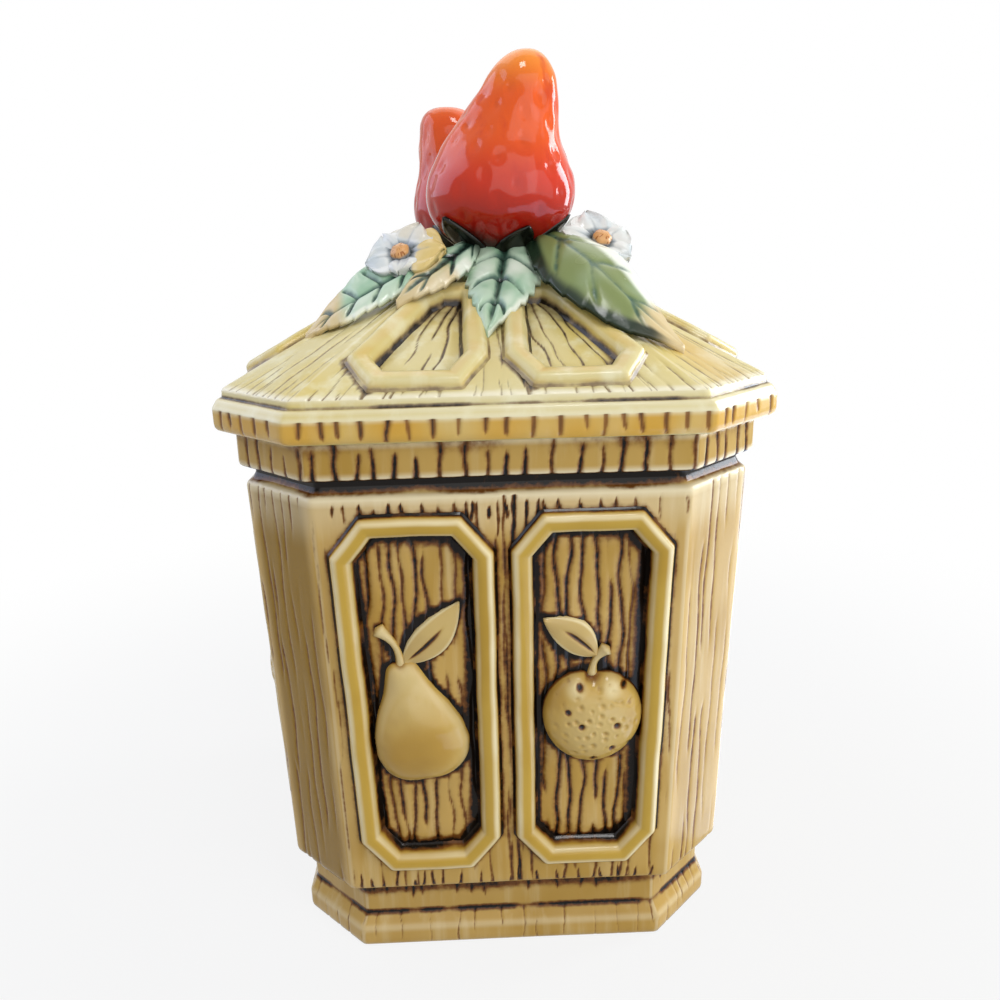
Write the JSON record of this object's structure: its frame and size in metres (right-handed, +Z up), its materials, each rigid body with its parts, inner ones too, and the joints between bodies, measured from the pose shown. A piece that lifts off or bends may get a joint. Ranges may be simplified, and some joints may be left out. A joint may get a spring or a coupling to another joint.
{
  "type": "canister",
  "caption": "Octagonal glazed ceramic kitchen canister moulded like a small panelled wooden cupboard, with a lift-off hipped lid whose handle is a cluster of strawberries.",
  "frame": {"origin": "middle of the plinth's underside, on the surface that the canister stands on", "axes": "+Z up, -Y out of the front face, +X to the right seen from the front"},
  "size_m": [0.154, 0.154, 0.2623],
  "materials": {
    "tub_glaze": "glossy ochre glaze over wood grain with dark brown stain in the grooves",
    "fruit_glaze": "glossy pale ochre glaze",
    "lid_glaze": "glossy straw yellow glaze over wood grain with dark stain in the grooves",
    "berry_red": "glossy red orange glaze",
    "sepal_green": "glossy dark olive glaze",
    "leaf_green": "glossy mint to leaf green glaze, cream on the raised veins",
    "blossom_white": "glossy white glaze with an orange middle"
  },
  "bodies": {
    "canister": {"body_shell": "tub_glaze", "frame_front_left": "tub_glaze", "frame_front_right": "tub_glaze", "frame_right_left": "tub_glaze", "frame_right_right": "tub_glaze", "frame_back_left": "tub_glaze", "frame_back_right": "tub_glaze", "frame_left_left": "tub_glaze", "frame_left_right": "tub_glaze", "pear_front": "fruit_glaze", "pear_right": "fruit_glaze", "pear_back": "fruit_glaze", "pear_left": "fruit_glaze", "orange_front": "fruit_glaze", "orange_right": "fruit_glaze", "orange_back": "fruit_glaze", "orange_left": "fruit_glaze"},
    "lid": {"lid_shell": "lid_glaze", "roof_frame_front_left": "lid_glaze", "roof_frame_front_right": "lid_glaze", "roof_frame_right_left": "lid_glaze", "roof_frame_right_right": "lid_glaze", "roof_frame_back_left": "lid_glaze", "roof_frame_back_right": "lid_glaze", "roof_frame_left_left": "lid_glaze", "roof_frame_left_right": "lid_glaze", "strawberry_front": "berry_red", "strawberry_rear": "berry_red", "calyx_front": "sepal_green", "calyx_rear": "sepal_green", "leaf_front": "leaf_green", "leaf_front_left": "leaf_green", "leaf_front_right": "leaf_green", "leaf_small": "leaf_green", "leaf_back": "leaf_green", "leaf_back_left": "leaf_green", "leaf_back_right": "leaf_green", "blossom_left": "blossom_white", "blossom_right": "blossom_white"}
  },
  "joints": [
    {"name": "lid_lift", "type": "slide", "parent": "canister", "child": "lid", "axis": [0, 0, 1], "range_m": [0, 0.15]}
  ]
}
